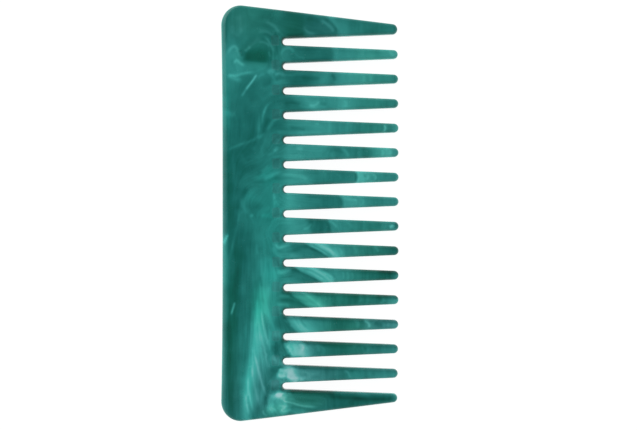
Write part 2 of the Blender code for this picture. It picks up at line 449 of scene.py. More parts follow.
# Wisps and bands: tone, hue, half width (or left and right of the way it runs), points (d, x)
STROKES = [
    # along the back edge
    # the first two are partly painted light, a pale emerald glow along the thin back edge, and partly the
    # marbling's own pale strip
    (6, -0.5, 0.9, [(1, 58), (1, 45), (1.1, 24)]),
    (14, -0.4, 0.8, [(1.1, -6), (1, -16), (1.2, -30)]),
    (-8, -0.4, 1, [(1.9, 26), (1.9, 12), (1.9, 0)]),
    (-12, 0, 0.7, [(2.6, 24), (2.5, 5), (2.5, -12), (2.9, -20), (2.6, -34), (2.4, -50), (2.5, -70)]),
    (-10, 0, 1.4, [
        (3.6, 22), (3.6, 8), (3.9, -3), (4.6, -12), (4.9, -22), (4.4, -30), (3.6, -42), (3.4, -58),
    ]),
    (-14, 0, 1.7, [(8.4, -7), (7.2, -13), (6.2, -19), (5.2, -26), (5.4, -36), (5.2, -46)]),
    (42, 0.3, 0.32, [(2.2, -7.2), (1.6, -8.6), (1, -9.9), (0.6, -12)]),
    (58, 0.3, 0.35, [(4.6, -31.8), (4.2, -33.2), (3.6, -35.2), (3, -37.2)]),
    # the dark eye and the arcs round it
    (-19, -0.5, (3.6, 0.5), [(7, 56.2), (9, 55.6), (12, 55.2), (15, 55), (17.6, 55)]),
    (12, 0.5, 0.8, [(9, 59.4), (10.3, 60.9), (12.2, 62.5), (14.6, 63.5)]),
    (9, 0.5, 0.5, [(12.6, 65.2), (14.2, 66), (16, 65.8), (17.6, 64.9), (18.7, 63.7)]),
    (-10, 0, 0.7, [(18.6, 65.4), (19.6, 64.8), (20.4, 63.8)]),
    (17, 0.5, 0.6, [(15, 69.3), (17, 68.8), (19, 67.5), (19.9, 66.2), (20.6, 64.8)]),
    (20, 0.5, 0.42, [(14.6, 64.2), (16.1, 63.1), (17.1, 61.7), (17.9, 60.2), (18.4, 58.9), (18.4, 57.2)]),
    (17, 0.5, 0.45, [(12.6, 61.8), (14.6, 62), (16.2, 61.3), (17.2, 60)]),
    (-8, 0, 0.5, [(14.2, 65), (16.2, 64.8), (17.6, 63.8), (18.8, 62.4)]),
    (12, 0.3, 0.35, [(18.4, 58.8), (18.3, 56.4), (18.4, 54.4), (18.2, 52.4)]),
    (-8, 0, 0.5, [(17.5, 60.4), (17.6, 57.2), (17.6, 53.8)]),
    (-8, 0, 0.6, [(19.6, 61), (19.6, 58.8), (19.5, 56.6)]),
    (16, 0.3, 0.35, [(16.6, 58.8), (17, 57.6), (17.3, 56.4)]),
    (24, 0.5, 0.55, [(7.8, 58.5), (9.1, 59.4), (10.3, 60.6)]),
    (-8, 0, 1.2, [(11, 71), (13.6, 70.7), (16.6, 71.6), (19.6, 73)]),
    (-11, -0.3, 0.6, [(2.6, 73), (1.7, 70.6), (1.4, 67.4), (1.2, 63.6), (1.2, 60)]),
    (8, 0.2, 0.8, [(6.9, 67.6), (6.6, 65.6), (5.6, 64.6), (3.6, 65.2)]),
    # the pale wave that breaks on the back edge
    (24, 0.2, 0.6, [
        (1.2, 56.4), (2.1, 58.3), (3.2, 59.9), (4.3, 60.4), (5.2, 59.8), (5.8, 58.4), (6.5, 56.8),
        (7.6, 55.2),
    ]),
    (30, 0.2, 0.6, [(3.9, 53.6), (4.5, 54.8), (5.3, 55.4), (6.2, 54.6), (7.4, 53.9), (8.8, 54.1)]),
    (-12, 0, 0.8, [(4, 56.8), (3.9, 54.6), (4.2, 52.6), (5, 51)]),
    (27, 0, 0.55, [(1.2, 49.4), (2.8, 50), (5, 49.9), (7.2, 50.5), (9.6, 51), (12.4, 51.1)]),
    (20, 0, 0.8, [(1.2, 50), (3, 49.4), (4.8, 48.6), (6, 48.5), (7, 49.4)]),
    (58, 0.6, 0.36, [(12.7, 50.5), (12.1, 49.75), (11.05, 48.2), (10.1, 46.9), (9.1, 45.6), (8.4, 44.5)]),
    (28, 0.4, 0.34, [(9.3, 45.9), (8.3, 44.5), (7.6, 43.3), (6.8, 42.2)]),
    (8, 0.3, 1.2, [(5.6, 72.5), (6.4, 69), (7, 65)]),
    (9, 0.2, 0.8, [(3.4, 68.5), (3.8, 64.5)]),
    (8, 0.2, 1.5, [(14.6, 70.8), (17.4, 69.8)]),
    (10, 0, 0.5, [(12.6, 48.8), (14, 50.2), (15.6, 50.4)]),
    (24, 0.2, 0.9, [(16.2, 50.4), (17.8, 51.6), (18.8, 50.4)]),
    (30, 0.3, 0.6, [(18.6, 50), (20.6, 50.6), (23.4, 50)]),
    (13, 0, 0.6, [(17.2, 51), (18.4, 49.2), (19.3, 47.4), (21.5, 47.9), (24.5, 48.6)]),
    (-11, 0, 0.9, [(14, 46.2), (16.2, 46.8), (18, 47.6)]),
    (7, -0.4, 1.1, [(1.6, 51), (1.7, 44), (1.8, 36), (1.6, 27)]),
    (13, 0, 1, [(0.4, 36.4), (2.4, 36.2), (5, 35.2)]),
    # the long curved wisps of the middle
    (16, 0, 0.5, [
        (19, 40.4), (17.3, 39.9), (16.2, 39.1), (15.4, 37.8), (14.7, 36), (14.1, 34), (13.6, 31.4),
        (13.1, 28.4), (12.9, 24.8),
    ]),
    (16, 0.2, 0.4, [(16.2, 39), (15.5, 37.6), (15, 36)]),
    (8, 0, 0.35, [(13.4, 37.4), (13.1, 34.6), (12.7, 31.6), (12.5, 28.2)]),
    (18, 0, 0.5, [(16, 29.8), (16.9, 31.2), (17.9, 32.7), (19, 33.8), (20.8, 34)]),
    (-11, 0, 0.8, [(16.8, 35.4), (16.3, 33.4), (15.2, 31.2), (14.8, 29.4), (14.6, 27.6)]),
    (13, 0, 0.6, [(12.8, 29), (13.2, 27.6), (14.4, 28.2), (15.8, 29.8)]),
    (15, 0, 0.55, [(0.8, 21.6), (3.2, 23.5), (6, 24.7), (9, 25.7), (11.6, 26.9), (13.4, 28.4)]),
    (-7, 0, 0.9, [(5.4, 21), (8.4, 23.2), (11, 25), (12.8, 26.2)]),
    (14, 0, 0.5, [(15.6, 20.8), (17.4, 21.5), (18.8, 22.6), (19.8, 23.9)]),
    (18, 0.2, 0.7, [(18.6, 22.2), (19.5, 23.4), (20.2, 24.4)]),
    (14, 0, 0.7, [(19.4, 24.8), (20, 26), (20.4, 27.4)]),
    (12, 0, 0.5, [(19.4, 29.4), (21.4, 29.5), (23.6, 29.2)]),
    (12, 0, 0.5, [(17.6, 20), (20.4, 20.6), (23.6, 20.2)]),
    (-12, 0, 1.7, [(7.2, 20.2), (9.4, 21.4), (11.4, 23.6)]),
    (-8, 0, 0.6, [(8.4, 18.9), (10.8, 19.5), (13.6, 19.7)]),
    (8, 0, 0.8, [(14, 25.2), (14.3, 22.6), (14.6, 20.2)]),
    (9, 0, 0.8, [(13.6, 40.6), (15.6, 41.6), (17.4, 43), (18.8, 44.6)]),
    (-7, 0, 1.2, [(9.4, 40.6), (11.6, 41.4), (13.6, 42.6)]),
    (10, 0, 1, [(5.4, 8.2), (6.4, 11), (8.6, 12.8), (11, 13.4), (13.6, 13.8)]),
    (-10, 0, 0.7, [(15.2, 13.9), (17, 15), (18.6, 16.2)]),
    (10, 0, 0.6, [(13.6, 14.6), (15.4, 15.8), (16.6, 17.6)]),
    (9, 0, 0.5, [(13, 11.4), (16, 12.2), (19.6, 13.3)]),
    (12, 0, 1, [(18.8, 4.6), (21, 3)]),
    (-9, 0, 0.5, [(0.9, 26), (0.9, 10), (0.9, -8)]),
    (22, 0, 0.4, [(2, -7.6), (1.3, -8.8), (0.7, -10.2)]),
    (26, 0.1, 0.9, [(14.4, 11.2), (16, 12.8), (17.8, 13.8), (19.8, 14.7), (22.2, 14.9)]),
    (9, -0.3, 1, [(11, 12.2), (14, 13.4), (16.6, 15.6), (18.6, 18.8)]),
    (-15, 0, 0.7, [(5.9, 59.4), (6.5, 57.8), (7.4, 56.6)]),
    (9, 0, 0.3, [(13, 29), (13.3, 33), (13.6, 36)]),
    (-10, 0, 0.3, [(13.8, 30), (13.9, 33), (14.2, 35.5)]),
    (10, 0, 0.3, [(14.3, 32), (14.7, 35), (15.3, 37.4)]),
    # the light teal field
    (-12, 0, 0.7, [(13.4, 11.2), (15.8, 12), (18, 12.6), (21.5, 13.2)]),
    (8, 0, 0.4, [(9.8, 10.2), (12.4, 10.6), (15, 10.4)]),
    (-15, 0, 1.1, [(9.8, 9.8), (8, 8), (6.5, 5.6), (5.5, 2.6), (5.2, 0.4)]),
    (12, 0, 0.8, [(7.2, 6), (7.2, 3.4), (8.4, 1.2), (9, -0.8)]),
    (8, 0, 0.5, [(8.2, 1.2), (6.6, 0), (5.8, -2), (5, -4)]),
    (13, 0, 0.5, [(5.3, -2.6), (4.8, -6), (4.3, -9), (3.6, -12), (2.9, -15), (2.6, -18)]),
    (10, -0.3, 0.9, [(13.6, -1), (16, -0.8), (18.8, -1.5)]),
    (12, 0, 0.7, [(18.7, 7.2), (18.8, 4.2), (18.5, 1.4), (17.6, -1)]),
    (22, 0, 0.6, [(10, -0.4), (10.6, -0.8), (11.2, -1.2)]),
    (16, 0.2, 0.6, [(18.6, 7.4), (18.8, 6.2), (19.2, 5)]),
    (-11, 0, 0.9, [(13.6, -11.6), (13.7, -14.4), (13.6, -17.6)]),
    (8, 0, 0.8, [(14, -1.8), (14.6, 0.6), (16.2, 1.8), (17.8, 1.4)]),
    (34, 0.2, 0.7, [(18, -10.4), (19.4, -11.6), (20.4, -12.4), (21.8, -12.2), (24, -11.4)]),
    (22, 0, 1.1, [(18.6, -11.6), (18.9, -13.4), (20.4, -15.2), (23, -15.4)]),
    (14, 0, 0.35, [(12.3, -10.6), (12.5, -13), (12.7, -15.4)]),
    # the pale fan
    (20, -0.2, 2.4, [(16.2, -14), (15.6, -20), (15, -26), (14.2, -32)]),
    (42, -0.6, (2.6, 1.9), [
        (14.6, -25), (13.6, -33), (12.6, -41), (11.4, -49), (10, -57), (8.8, -65), (8, -74),
    ]),
    (20, -0.3, 2.4, [(16.8, -14), (17.2, -24), (17.4, -34), (17.2, -46), (16.2, -62)]),
    (18, 0.2, 1.9, [(12.8, -34), (12.8, -46), (13.2, -56), (13, -66), (12.2, -78)]),
    (16, 0, 2.4, [(9.8, -54), (9.4, -64), (9, -72), (8.8, -82)]),
    (22, 0, 2.2, [(9.6, -63), (9.4, -69), (9, -75), (8.8, -84)]),
    (24, -0.2, 0.7, [(15, -26), (15.6, -31), (16.5, -35.5), (17.7, -39.5), (18.9, -43)]),
    (26, 0.5, 0.45, [(13.8, -33), (14.4, -38), (15.2, -42), (16.2, -46), (17.4, -50)]),
    (14, 0.5, 0.5, [(13.4, -42), (14.5, -47), (15.6, -51.5), (16.8, -55.5), (18, -59)]),
    (36, 0.7, 0.55, [(11.8, -50), (12.6, -54.5), (13.6, -59), (14.8, -63), (15.9, -66.6)]),
    (18, 0.6, 0.45, [(10.6, -54), (11.2, -60), (12.2, -65), (13.4, -70)]),
    (24, 0, 0.5, [(9.6, -58), (9.4, -63), (10.2, -68), (11.6, -73)]),
    (24, 0.4, 0.55, [(8.4, -65), (8.8, -69), (9.8, -73.4)]),
    (18, 0, 0.5, [(12.4, -30), (12.6, -36), (12.4, -42)]),
    (14, 0.3, 0.5, [(11, -47), (11, -54), (10.7, -60)]),
    (-16, 0, 1.7, [(2.5, -34), (2.5, -48), (2.6, -64), (3, -84)]),
    (-9, 0, 0.8, [(4.9, -36), (4.8, -44), (4.5, -53)]),
    (-7, 0, 1, [(8.6, -13), (8.4, -20), (8, -29)]),
    (-12, 0, 0.6, [(15, -13.6), (15.1, -18), (14.9, -22.4)]),
    (-12, 0, 0.4, [(13.7, -22.2), (13.9, -24.6), (14.3, -27)]),
    (10, 0, 0.5, [(12.8, -14), (12.5, -20), (12.2, -26), (12, -31)]),
    (9, -0.2, 0.6, [(8.8, -36), (8.4, -44), (7.8, -52), (7, -60), (6.2, -69)]),
    (-8, 0, 0.6, [(9.4, -38), (8.9, -45), (8, -53), (7, -61)]),
    (-12, 0.3, 1, [(17, -55), (17.2, -60), (16.8, -64), (15.6, -68), (14.6, -71)]),
    (-16, 0, 0.9, [(16.1, -16), (16.6, -20), (16.7, -24), (16.4, -28)]),
    (-8, 0, 0.5, [(12.2, -37), (12.9, -43), (13.8, -50)]),
    (9, 0, 0.7, [(9.9, -38), (10.7, -43), (10.3, -49)]),
    (14, 0, 0.5, [(14.3, -31.5), (14.9, -34), (15.5, -37)]),
    (-9, 0, 0.4, [(16, -39), (16.7, -45)]),
    (-9, 0, 0.5, [(14.2, -47), (15.3, -52)]),
    (10, 0, 0.5, [(16.6, -45), (17.3, -50)]),
    (-11, 0, 0.5, [(10.6, -49.5), (11.4, -54)]),
    (-9, 0, 0.4, [(9.9, -55.5), (10.6, -59)]),
    (-9, 0, 0.7, [(7.3, -56), (6.9, -61), (6.7, -65)]),
    (-12, 0, 0.8, [(9.3, -65.5), (8.8, -69.5)]),
    (12, 0, 1.1, [(18.8, -51), (18.6, -53.6)]),
    (8, 0, 1.2, [(19, -42), (19.4, -45)]),
    (8, 0, 1.2, [(17, -60), (18, -62.6)]),
    # the swirl at the lower corner
    (30, 0, 1.1, [(18.2, -65), (17.4, -67.4), (17.4, -70), (18.6, -73)]),
    (-14, 0, 0.8, [(16.8, -65.8), (18, -64.8), (19.6, -64.2)]),
    (24, 0.3, 0.4, [(14.5, -71), (15, -72.4), (16.4, -73.6)]),
    (-14, 0, 0.7, [(17.4, -63.6), (19.2, -63.8), (21.4, -63.6)]),
]

# Where the plastic leans to green: amount, middle (d, x) and radii (d, x)
GREENER = [
    (1, 11, 71, 14, 8),
    (1, 13, 58, 7, 5),
    (0.8, 26, 66, 5, 5),
    (0.7, 56, 44, 9, 30),
    (1, 54, -16, 9, 13),
    (1.3, 40, -31, 20, 5),
    (1.4, 45, -44.5, 9, 9),
    (1, 3, -46, 3, 30),
    (0.8, 14, -34, 4, 9),
    (1.3, 30, -67, 8, 3.6),
    (0.8, 19, -72, 5, 3),
]

# Each tooth, from the upper end down: how far its bands slant (mm of d for each mm
# of x), the d where they slant most, and its tones (d, tone) from root to tip
TEETH = [
    (0.6, 42, [
        (20, 79), (23, 70), (26, 66), (29, 67), (30.5, 76), (36, 80), (40, 79), (42.5, 104), (48, 87),
        (54, 81), (57, 84), (61.4, 88), (63, 78),
    ]),
    (0, 40, [
        (20, 84), (22, 97), (26, 86), (30, 75), (39.4, 80), (41, 106), (45, 109), (47.6, 110), (51, 116),
        (57, 111), (62, 115),
    ]),
    (-0.5, 34, [
        (20, 94), (26, 76), (31, 76), (37, 103), (40, 92), (42.5, 108), (51, 118), (54, 108), (58, 102),
        (61, 102), (63, 94),
    ]),
    (0.8, 31, [
        (20, 84), (23, 78), (26, 84), (32, 115), (38, 106), (41, 110), (44, 121), (47, 111), (50, 101),
        (63, 93),
    ]),
    (0.4, 32, [
        (20, 86), (26, 97), (34, 113), (38, 115), (42, 104), (50, 92), (56, 95), (61, 95), (63, 105),
    ]),
    (0.4, 32, [
        (20, 96), (24, 108), (28, 108), (38, 105), (42, 93), (44, 98), (53, 88), (55, 112), (60, 130),
        (61.5, 112), (63, 98),
    ]),
    (0.6, 32, [
        (20, 103), (26, 112), (29.5, 110), (33, 92), (35, 84), (38, 94), (45.5, 88), (47.5, 98), (48.6, 92),
        (49.3, 150), (51, 134), (54.4, 128), (56, 110), (60, 96), (63, 102),
    ]),
    (0.3, 38, [
        (20, 120), (24, 126), (32, 92), (43, 82), (44.2, 108), (46, 120), (52.5, 110), (54, 97), (58, 97),
        (63, 106),
    ]),
    (0.4, 33, [
        (20, 114), (25, 117), (30.4, 106), (32, 84), (38.4, 78), (39.8, 98), (47, 102), (50, 95), (56, 94),
        (62, 96),
    ]),
    (1.75, 35, [
        (20, 122), (23, 114), (26, 96), (30, 92), (33.9, 83), (35.3, 124), (36.6, 118), (37.8, 146),
        (39.8, 154), (41.4, 132), (44, 107), (47, 97), (52, 91), (58, 88), (63, 68),
    ]),
    (2, 31.5, [
        (20, 114), (25, 90), (30.6, 78), (32, 128), (34, 138), (35, 128), (36.8, 152), (38.4, 148),
        (39.8, 110), (46, 98), (51, 87), (59.5, 63), (61.5, 75), (63, 86),
    ]),
    (1.35, 30, [
        (20, 98), (26.8, 76), (28.2, 112), (30.2, 130), (31.4, 126), (32.8, 147), (34.4, 124), (37, 97),
        (41, 83), (46, 82), (51, 88), (54, 78), (58, 90), (63, 114),
    ]),
    (1.15, 26, [
        (20, 88), (23.4, 80), (24.7, 124), (27.2, 144), (31.5, 129), (35, 106), (42, 80), (51, 88),
        (53, 104), (55.5, 97), (60, 102), (63, 108),
    ]),
    (0.2, 24, [
        (20, 76), (22, 82), (23.2, 118), (24.6, 162), (27, 160), (29, 158), (30.4, 136), (31.8, 116),
        (33.4, 103), (37, 86), (41, 74), (47, 80), (54, 88), (63, 106),
    ]),
    (0.3, 22, [
        (20, 132), (21, 158), (23, 172), (25, 176), (26, 158), (27.2, 132), (28.6, 110), (33, 110),
        (40, 88), (44, 84), (50, 97), (55, 97), (57, 106), (63, 101),
    ]),
    (-0.3, 28, [
        (20, 140), (22.4, 150), (23.9, 110), (26, 90), (34, 84), (40, 76), (44, 72), (48, 66), (54, 70),
        (60, 72), (63, 98),
    ]),
]
FULL_TOOTH_D = 24.5  # the teeth's own tones take over over the last millimetres before this place
TOOTH_BLEND = 5.0
SLANT_SPAN = 3.0  # each way from where a tooth's bands slant most
SLANT_FADE = 30.0
BAND_BOW = 0.18  # the bands of the outer halves bow towards the root at the flanks
BAND_BOW_SPAN = 4.0
BAND_BOW_D = 36.0
BAND_BOW_RISE = 8.0

# Wisps on the teeth, as STROKES
TOOTH_STROKES = [
    # first tooth: bowed bands
    (-14, 0, 0.6, [(36.8, 70.6), (39.2, 69.2), (40.9, 67.2), (41.4, 65.2)]),
    (18, 0.3, 0.55, [(35.2, 70.2), (37.6, 68.8), (39.4, 67.2), (40.4, 65.4)]),
    (14, 0.3, 0.6, [(29.4, 68.2), (30, 66.6), (31.6, 65.2), (34.4, 64.9)]),
    (-12, 0, 0.7, [(22.6, 64.6), (26.6, 64.5), (30.2, 65)]),
    (-12, 0, 0.8, [(30, 70.8), (33, 70.2), (35.8, 69.4)]),
    # second: rings at the root
    (16, 0, 0.5, [(21.6, 56.4), (21.4, 58), (22.4, 59.4), (24, 59.9), (25.3, 59.2), (26, 57.2)]),
    (8, 0, 0.5, [(26.2, 58.2), (27.4, 56.8), (30.4, 56)]),
    (-4, 0, 0.8, [(47.8, 59.4), (48.4, 57.8), (48, 56.4)]),
    (14, 0, 0.6, [(60.2, 58.8), (61.8, 57.6), (62, 56.8)]),
    (-9, 0, 0.9, [(38, 59.4), (48, 58.9), (60, 58.3)]),
    # third
    (-12, 0, 0.6, [(39, 50.2), (40.6, 49.2), (40.8, 47.8)]),
    (12, 0, 0.6, [(25, 50.8), (30, 50.5), (36, 50.3)]),
    (10, 0, 0.5, [(20.8, 49.9), (24, 49.9), (27, 49.8)]),
    (-10, 0, 0.8, [(28, 49.2), (32, 48.6), (36, 48.8)]),
    (10, 0, 0.5, [(51, 50.4), (51.4, 48.8), (51, 47.2)]),
    (12, 0, 0.4, [(53.4, 50.2), (53.8, 48.8), (53.4, 47.4)]),
    # fourth
    (20, 0.2, 0.6, [(31, 39.4), (32.6, 38.9), (34.2, 39.6), (35.4, 41)]),
    (-14, 0, 0.8, [(22, 39.4), (25.5, 39.8), (28.5, 39.2)]),
    (-10, 0, 0.6, [(35.6, 40.6), (36, 39.8), (38, 39.4)]),
    (12, 0, 0.5, [(44, 41.2), (44.8, 39.8), (44.2, 38.4)]),
    # fifth
    (-10, 0, 0.8, [(24, 31.2), (27.4, 30.6), (30.4, 30.4)]),
    (10, 0, 0.8, [(26, 29.4), (31, 29.2), (37, 29.2)]),
    (12, 0, 0.5, [(33.6, 32.8), (35, 32.2)]),
    (44, 0.4, 0.45, [(58.4, 32.4), (59, 31.2), (58.8, 30.2), (58, 29.6)]),
    (14, 0, 0.5, [(62.6, 32), (63.2, 31), (62.4, 29.8)]),
    # sixth
    (18, 0.2, 0.7, [(26.6, 23.4), (27.8, 23.6), (29.4, 23.2)]),
    (8, 0, 0.7, [(21, 20.8), (25, 20.4), (30, 20.6)]),
    (-8, 0, 0.6, [(38, 22.4), (41.6, 22.8), (43.6, 21.6)]),
    (14, 0, 0.5, [(42.6, 23.6), (44.6, 22.6), (45.4, 21.2), (45.2, 20.4)]),
    (14, 0, 0.5, [(57.8, 23.4), (58.2, 22), (57.6, 20.8)]),
    (14, 0, 0.5, [(60.6, 23.2), (61, 22), (60.4, 20.8)]),
    # seventh
    (12, 0, 0.7, [(20.5, 14.2), (24, 14), (28.5, 13.4), (31.5, 12)]),
    (8, 0, 0.4, [(40.8, 14.4), (42.4, 13.6), (42.6, 12.2)]),
    (18, 0.3, 0.35, [(52.4, 14.2), (52.8, 13.2), (52.4, 11.8)]),
    (16, 0.3, 0.4, [(54.2, 14.4), (55.6, 13.4), (55.2, 11.8)]),
    (-16, 0, 0.4, [(51.4, 14.2), (51.8, 13)]),
    (-12, 0, 0.5, [(53.6, 13.6), (54.2, 12.8), (53.8, 11.8)]),
    # eighth
    (14, 0, 0.5, [(43.6, 5.9), (44.8, 5.2), (47, 5), (49.6, 4.8)]),
    (8, 0, 0.4, [(47.6, 5.6), (48.6, 4.4), (48.2, 3)]),
    (8, 0, 0.4, [(50.6, 5.4), (51.2, 4.2), (50.6, 3)]),
    # ninth
    (18, 0, 0.5, [(28.8, -5.8), (30.6, -5.4), (31.8, -4.4), (32, -3.4)]),
    (20, 0, 0.5, [(37.8, -2.6), (39.4, -3.1), (40.8, -4.2), (41.4, -5.6)]),
    (10, 0, 0.4, [(44.6, -3.2), (46.6, -4.2), (46.6, -5.4)]),
    (44, 0.2, 0.7, [(60.4, -5.2), (61.4, -4.6), (61.6, -3.9)]),
    (-24, 0, 0.6, [(62.6, -3.4), (63.2, -4.4), (62.8, -5.6)]),
    # tenth
    (10, 0, 0.35, [(34.4, -11.6), (37, -12.4), (39.4, -13.8), (41, -15.2)]),
    (8, 0, 0.4, [(41, -11.8), (42.6, -13), (43.8, -14.8)]),
    (8, 0, 0.5, [(47.2, -11.8), (48.4, -13.2), (48.4, -14.8)]),
    (16, 0, 0.5, [(54.8, -11.9), (56, -12.9), (56.4, -14.2)]),
    (-10, 0, 0.7, [(22.4, -13.9), (25.4, -13.4), (28.4, -12.6), (31.4, -12.8)]),
    (14, 0, 0.5, [(20.4, -12.4), (22.4, -11.8), (25, -11.3)]),
    (12, 0.2, 0.6, [(24, -15.4), (26.4, -15.2), (30, -15.4)]),
    (20, 0.2, 0.3, [(31, -11.5), (33.4, -12.3), (36, -13.6), (38.4, -15.3)]),
    (-12, 0, 0.4, [(31.4, -12.4), (34.2, -13.5), (36.6, -14.9)]),
    # eleventh
    (-16, 0, 0.4, [(28.6, -20.7), (31, -21.9), (33.2, -23.2), (34.8, -24.3)]),
    (14, 0.2, 0.35, [(30.4, -20.6), (32.6, -21.6), (35, -23), (36.8, -24.2)]),
    (-12, 0, 0.35, [(37.2, -22.2), (38.4, -23), (39.4, -24.2)]),
    (14, 0.2, 0.35, [(38.6, -22.2), (40, -23.2), (41.2, -24.4)]),
    (16, 0, 0.35, [(43.4, -20.9), (43.9, -22.6), (43.6, -24.2)]),
    (10, 0, 0.35, [(45, -21), (45.6, -22.6), (45.2, -24)]),
    (8, 0, 0.4, [(46.8, -21.2), (47.4, -22.8), (47, -24.2)]),
    (24, 0, 0.8, [(19.2, -20.9), (21.2, -21.4), (23.4, -20.7), (25.4, -20.3)]),
    (-8, 0, 0.6, [(20.4, -23.2), (23, -23), (26, -22.6)]),
    # twelfth
    (14, 0, 0.5, [(20, -29.8), (22.6, -29.6), (24.6, -30.2)]),
    (-10, 0, 0.6, [(20.4, -31.4), (23.4, -31.2), (26.4, -32)]),
    (16, 0, 0.6, [(19.6, -33.2), (22, -33), (24.6, -33.3)]),
    (10, 0, 0.4, [(49.6, -29.6), (50.2, -31), (49.6, -32.4)]),
    (-10, 0, 0.7, [(56.4, -29.8), (57.4, -31), (57, -32)]),
    (12, 0, 0.5, [(59, -30.2), (58.6, -31.4), (58.8, -32.2)]),
    # thirteenth
    (-12, 0, 0.5, [(28.2, -38.2), (29, -39.8), (30.6, -41.4)]),
    (-20, 0, 0.5, [(21.8, -37.4), (23.2, -38.8), (24.8, -40.8)]),
    (34, 0.2, 0.45, [(51.2, -38.7), (52.3, -39.4), (53.2, -40.4), (52.9, -41.6)]),
    (12, 0.2, 0.5, [(48.4, -38.6), (49.2, -40), (48.8, -41.6)]),
    (-18, 0, 0.8, [(54.8, -39.4), (56.6, -40.4), (58.4, -40.6)]),
    (12, 0.3, 0.5, [(58.8, -38.8), (60, -39.8), (59.6, -41.2)]),
    # fourteenth: a pale pool with a ring in it
    (-14, 0, 0.8, [(28.6, -46.2), (30.4, -46.8), (31.4, -48.2)]),
    (-14, 0, 0.7, [(30.8, -51.4), (29.2, -52.4), (27, -52.6)]),
    (18, 0.2, 0.35, [(27.2, -47), (28.8, -47.7), (29.3, -48.8), (29, -50)]),
    (34, 0, 0.9, [(22.9, -46.6), (23.2, -48.4), (24, -50.4)]),
    (-12, 0.2, 0.4, [(26.6, -47.4), (27.6, -48.2), (27.9, -49.4)]),
    (-10, -0.5, 0.5, [(24.8, -47.2), (25.3, -48.6), (25.2, -50)]),
    (-34, 0, 0.5, [(22.4, -50.9), (24, -51.6), (26.4, -52.1), (30, -52.2)]),
    (-16, 0, 0.5, [(27.4, -46.8), (29, -46.6), (31.6, -46.9)]),
    (10, 0, 0.5, [(33.6, -47.6), (34.8, -48.8), (34.6, -50.2)]),
    (-6, 0, 0.7, [(35, -47.8), (40, -48.2), (46, -48.8)]),
    (-12, 0, 0.7, [(51, -48.8), (52.6, -49.2)]),
    (-9, 0, 0.5, [(54.4, -48), (54.6, -49.4)]),
    (10, 0, 0.6, [(47.2, -47.8), (48.4, -48.6)]),
    # fifteenth: a paler pool that feathers out
    (40, -0.3, 1.2, [(21.8, -55.6), (21.2, -57.6), (21.4, -60.2)]),
    (-20, 0, 0.8, [(18.4, -54.5), (20.2, -55.6), (22, -55.2)]),
    (16, 0, 0.8, [(19.4, -57.4), (20.6, -58.6), (22.4, -58.8)]),
    (14, 0, 0.9, [(22.6, -56.6), (23.6, -58.4)]),
    (-14, 0, 0.5, [(20.4, -60.1), (22.4, -60.3), (24.8, -60.3)]),
    (-14, -0.3, 0.35, [(22.8, -56.8), (23.2, -58.2), (22.8, -59.8)]),
    (-30, 0.2, 0.45, [(21.6, -60.5), (23.4, -60.8), (25.4, -61)]),
    (12, 0.2, 0.6, [(27.4, -59.6), (29.6, -59.4), (32.4, -59.2)]),
    (-10, 0, 0.4, [(29.2, -57.6), (30.2, -58.6), (30.6, -59.8)]),
    (-18, 0.4, 0.4, [(22.6, -55.2), (24.6, -55.5), (27, -55.8)]),
    (22, 0.3, 0.4, [(43.8, -56.6), (45.4, -57.6), (46, -58.8), (46.4, -59.8)]),
    (-12, 0, 0.5, [(46.2, -56.8), (47.6, -57.4)]),
    (-8, 0, 0.6, [(54, -57.8), (55.4, -58.6)]),
    (-16, 0, 0.6, [(23.6, -60), (26, -60.3)]),
    (20, 0, 0.5, [(27.8, -60), (29.6, -60.4)]),
    # last: a pale streak curls out of the corner
    (54, 0, 1, [(18.8, -65.4), (20.4, -65.7), (22.4, -65.8)]),
    (18, 0, 1.4, [(20.6, -69.4), (22.4, -70.6), (24.8, -71.4)]),
    (-24, 0.2, 0.4, [(22.4, -64.3), (24.4, -64.6), (27, -64.8)]),
    (32, 0.3, 0.5, [(21, -67), (24, -68.5), (27.4, -69.4), (31, -69.9), (35, -70.3)]),
    (20, 0, 1.2, [(21, -71.6), (25, -71.8), (31, -71.8)]),
    (-25, 0, 0.9, [(36, -66), (43, -66.7), (50, -67.2), (58, -67.4), (64, -67.3)]),
    (9, 0, 0.6, [(48, -65.4), (54, -65.8)]),
    (-9, 0, 0.6, [(45.4, -68.6), (48, -68.4)]),
]

# Where no wisp turns it, the grain follows these lines, whose points are (d, x)
FLOW_LINES = [
    [(1.5, 74), (1.3, 40), (1.3, 0), (1.3, -40), (1.5, -74)],
    [(4, 72), (4, 40), (4, 0), (4.5, -40), (4, -72)],
    [(8, 73), (8, 64)],
    [(12, 46), (16, 45)],
    [(8, 40), (7.5, 30)],
    [(16, -2), (19, 4), (24, 5), (30, 4.6)],
    [(16, 8), (20, 13), (28, 13.6)],
    [(18, 18), (22, 21.5), (30, 21.8)],
    [(20, 31), (30, 31)],
    [(20, 40), (30, 39.6)],
    [(24, 58), (34, 58)],
    [(22, 69), (34, 67.4)],
]

# A wisp's tone is painted as far as TONE_REACH half widths, and it turns the grain as
# far as FLOW_REACH times the reach given here. It fades in and out over its taper, a
# share of its length.
TONE_REACH = 2.6
FLOW_REACH = 2.2
WISP = {"taper": 0.25, "reach": 3.0}
TOOTH_WISP = {"taper": 0.2, "reach": 1.6}
FLOW_LINE_REACH = 4.0
TIPWARD_PULL = 0.02
CROSSING_PULL = 1.2
OUTER_TEETH = (34, 6)  # the d from which the grain crosses the teeth, and how far it takes to turn
FLOW_BLUR = 2  # cells
TINY = 1e-6

